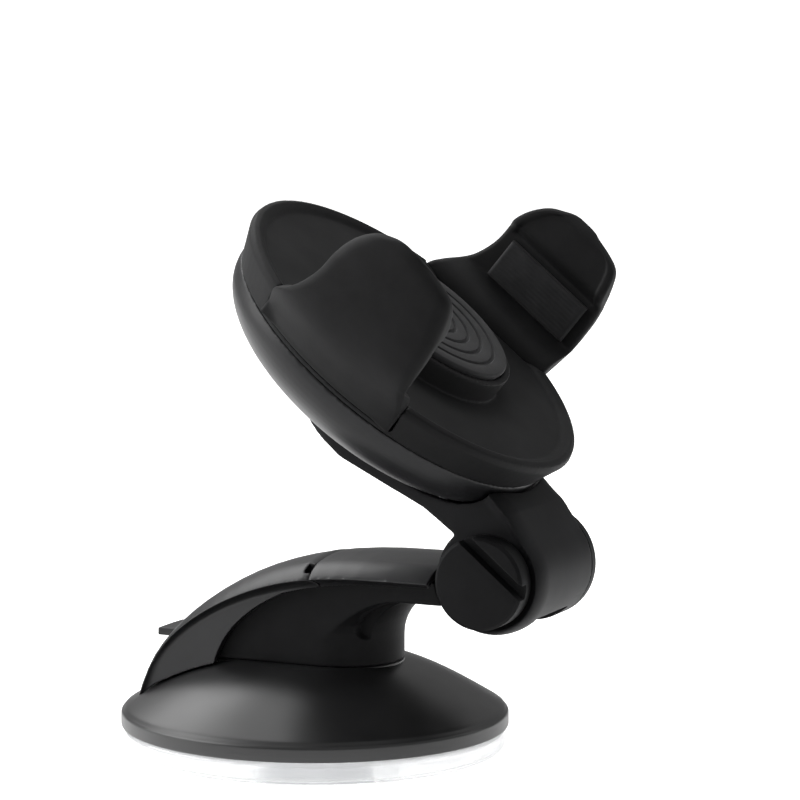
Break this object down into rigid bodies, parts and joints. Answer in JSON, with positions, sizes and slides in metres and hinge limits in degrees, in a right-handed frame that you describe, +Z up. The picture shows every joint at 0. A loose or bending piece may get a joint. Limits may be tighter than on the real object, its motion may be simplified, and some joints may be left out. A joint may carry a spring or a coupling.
{
  "type": "car phone mount",
  "caption": "Dashboard phone mount: suction base with a lock lever, arched arm, tilting neck and a swivelling cradle whose sprung, geared side jaws grip a phone.",
  "frame": {"origin": "centre of the suction pad's underside, on the surface it grips", "axes": "+Z up from the surface, -Y to the driver and the screen side, X across the mount with the knob at -X"},
  "size_m": [0.0768, 0.0785, 0.092],
  "materials": {
    "clear_gel": "clear, glossy",
    "cover_plastic": "satin moulded black",
    "body_plastic": "fine matte grain",
    "jaw_plastic": "matte moulded black",
    "knob_plastic": "matte face, satin bevel",
    "pad_rubber": "matte",
    "gear_plastic": "natural acetal",
    "steel": "zinc plated",
    "spring_steel": "drawn wire"
  },
  "bodies": {
    "base": {"suction_cup": "clear_gel", "base_cover": "cover_plastic", "arm_core": "body_plastic", "arm_top_cover": "cover_plastic", "base_screws": "steel", "lever_pin": "steel", "stud_spring": "spring_steel"},
    "lever": {"lever": "cover_plastic"},
    "stud": {"lift_stud": "steel", "stud_cross_pin": "steel"},
    "neck": {"neck": "cover_plastic", "friction_washers": "gear_plastic", "pivot_nut": "steel", "nut_cap": "cover_plastic", "swivel_washer": "steel", "swivel_screw": "steel"},
    "knob": {"knob": "knob_plastic", "pivot_bolt": "steel"},
    "cradle": {"back_shell": "cover_plastic", "guide_plate": "body_plastic", "front_housing": "jaw_plastic", "centre_pad": "pad_rubber", "cradle_screws": "steel", "pinion_axle": "steel", "pinion_spring": "spring_steel"},
    "pinion": {"pinion": "gear_plastic"},
    "jaw_left": {"jaw_left": "jaw_plastic", "jaw_pad_left": "pad_rubber"},
    "jaw_right": {"jaw_right": "jaw_plastic", "jaw_pad_right": "pad_rubber"}
  },
  "joints": [
    {"name": "lever_hinge", "type": "hinge", "parent": "base", "child": "lever", "pos_m": [0, -0.0028, 0.02976], "axis": [1, 0, 0], "range_deg": [0, 50]},
    {"name": "stud_slide", "type": "slide", "parent": "base", "child": "stud", "axis": [0, 0, -1], "range_m": [0, 0.0015], "deforming": ["stud_spring", "suction_cup"]},
    {"name": "neck_tilt", "type": "hinge", "parent": "base", "child": "neck", "pos_m": [0, -0.0364, 0.0324], "axis": [1, 0, 0], "range_deg": [-20, 50]},
    {"name": "knob_turn", "type": "hinge", "parent": "neck", "child": "knob", "pos_m": [-0.011, -0.0364, 0.0324], "axis": [-1, 0, 0], "range_deg": [0, 270]},
    {"name": "cradle_swivel", "type": "hinge", "parent": "neck", "child": "cradle", "pos_m": [0, -0.02135, 0.07448], "axis": [0, -0.6401, 0.7683], "continuous": true},
    {"name": "jaw_left_slide", "type": "slide", "parent": "cradle", "child": "jaw_left", "axis": [-1, 0, 0], "range_m": [0, 0.01], "stiffness_N_per_m": 150, "springref_m": -0.015},
    {"name": "jaw_right_slide", "type": "slide", "parent": "cradle", "child": "jaw_right", "axis": [1, 0, 0], "range_m": [0, 0.01]},
    {"name": "pinion_turn", "type": "hinge", "parent": "cradle", "child": "pinion", "pos_m": [0, -0.02135, 0.07448], "axis": [0, -0.6401, 0.7683], "range_deg": [0, 80]}
  ],
  "couplings": [
    {"joint": "stud_slide", "follows": "lever_hinge", "m_per_rad": 0.0017189},
    {"joint": "jaw_right_slide", "follows": "jaw_left_slide", "ratio": 1},
    {"joint": "pinion_turn", "follows": "jaw_left_slide", "rad_per_m": 138.89}
  ]
}
